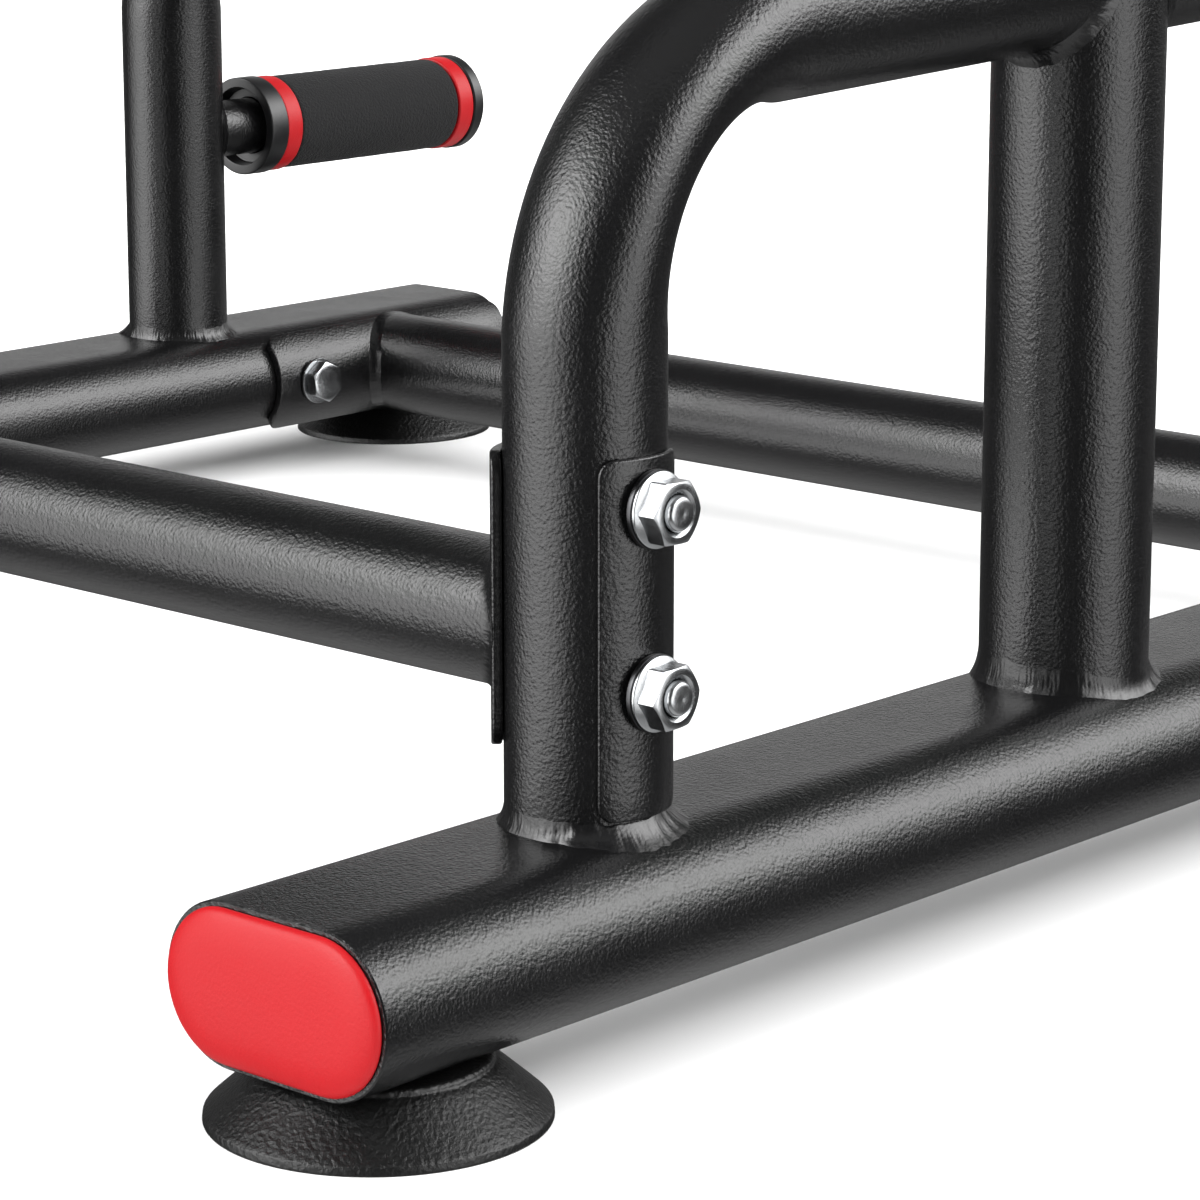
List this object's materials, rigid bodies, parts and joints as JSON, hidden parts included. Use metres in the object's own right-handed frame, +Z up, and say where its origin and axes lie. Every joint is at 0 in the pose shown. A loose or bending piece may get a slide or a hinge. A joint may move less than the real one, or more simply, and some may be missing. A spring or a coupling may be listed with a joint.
{
  "type": "pull-up station",
  "caption": "Free-standing pull-up station of black steel tube with suction feet, red end caps, push-up handles, dip arms and a height-adjustable bar.",
  "frame": {"origin": "on the floor, under the middle of the station", "axes": "+X to the station's right side, +Y to the side the user stands on, +Z up"},
  "size_m": [1.1786, 0.769, 1.976],
  "materials": {
    "frame_coat": "black powder coat, fine leathery texture, satin",
    "red_plastic": "moulded red plastic, faint texture, satin",
    "black_plastic": "moulded black plastic, satin",
    "cup_rubber": "black textured rubber",
    "grip_foam": "matte charcoal closed-cell foam",
    "zinc_steel": "bright zinc plating"
  },
  "bodies": {
    "base_frame": {"foot_tube_right": "frame_coat", "foot_tube_left": "frame_coat", "end_cap_right_rear": "red_plastic", "end_cap_right_front": "red_plastic", "end_cap_left_rear": "red_plastic", "end_cap_left_front": "red_plastic", "suction_cup_right_rear": "cup_rubber", "suction_cup_right_front": "cup_rubber", "suction_cup_left_rear": "cup_rubber", "suction_cup_left_front": "cup_rubber", "hoop_right_rear": "frame_coat", "hoop_right_front": "frame_coat", "hoop_left_rear": "frame_coat", "hoop_left_front": "frame_coat", "upright_right": "frame_coat", "upright_left": "frame_coat", "nut_strip_right": "frame_coat", "nut_strip_left": "frame_coat", "rear_crossbar": "frame_coat", "front_crossbar": "frame_coat", "mid_crossbar": "frame_coat", "rear_nut_right_lower": "zinc_steel", "rear_nut_right_upper": "zinc_steel", "rear_nut_left_lower": "zinc_steel", "rear_nut_left_upper": "zinc_steel", "mid_nut_right": "zinc_steel", "mid_nut_left": "zinc_steel", "floor_bolt_right_rear": "zinc_steel", "floor_bolt_right_front": "zinc_steel", "floor_bolt_left_rear": "zinc_steel", "floor_bolt_left_front": "zinc_steel", "pushup_tube_right": "frame_coat", "pushup_tube_left": "frame_coat", "pushup_collar_right": "black_plastic", "pushup_collar_left": "black_plastic", "pushup_ring_inner_right": "red_plastic", "pushup_ring_outer_right": "red_plastic", "pushup_ring_inner_left": "red_plastic", "pushup_ring_outer_left": "red_plastic", "pushup_grip_right": "grip_foam", "pushup_grip_left": "grip_foam", "pushup_end_cap_right": "black_plastic", "pushup_end_cap_left": "black_plastic", "dip_arm_right": "frame_coat", "dip_arm_left": "frame_coat", "dip_grip_right": "grip_foam", "dip_grip_left": "grip_foam", "dip_end_cap_right": "red_plastic", "dip_end_cap_left": "red_plastic", "mast_bush_right": "black_plastic", "mast_bush_left": "black_plastic"},
    "top_frame": {"mast_right": "frame_coat", "mast_left": "frame_coat", "pullup_bar": "frame_coat", "pullup_grip_right": "grip_foam", "pullup_grip_left": "grip_foam", "pullup_end_cap_right": "red_plastic", "pullup_end_cap_left": "red_plastic"},
    "plunger_right": {"plunger_right": "black_plastic"},
    "plunger_left": {"plunger_left": "black_plastic"}
  },
  "joints": [
    {"name": "height_slide", "type": "slide", "parent": "base_frame", "child": "top_frame", "axis": [0, 0, 1], "range_m": [0, 0.2]},
    {"name": "plunger_right_push", "type": "slide", "parent": "base_frame", "child": "plunger_right", "axis": [-1, 0, 0], "range_m": [0, 0.012]},
    {"name": "plunger_left_push", "type": "slide", "parent": "base_frame", "child": "plunger_left", "axis": [1, 0, 0], "range_m": [0, 0.012]}
  ]
}
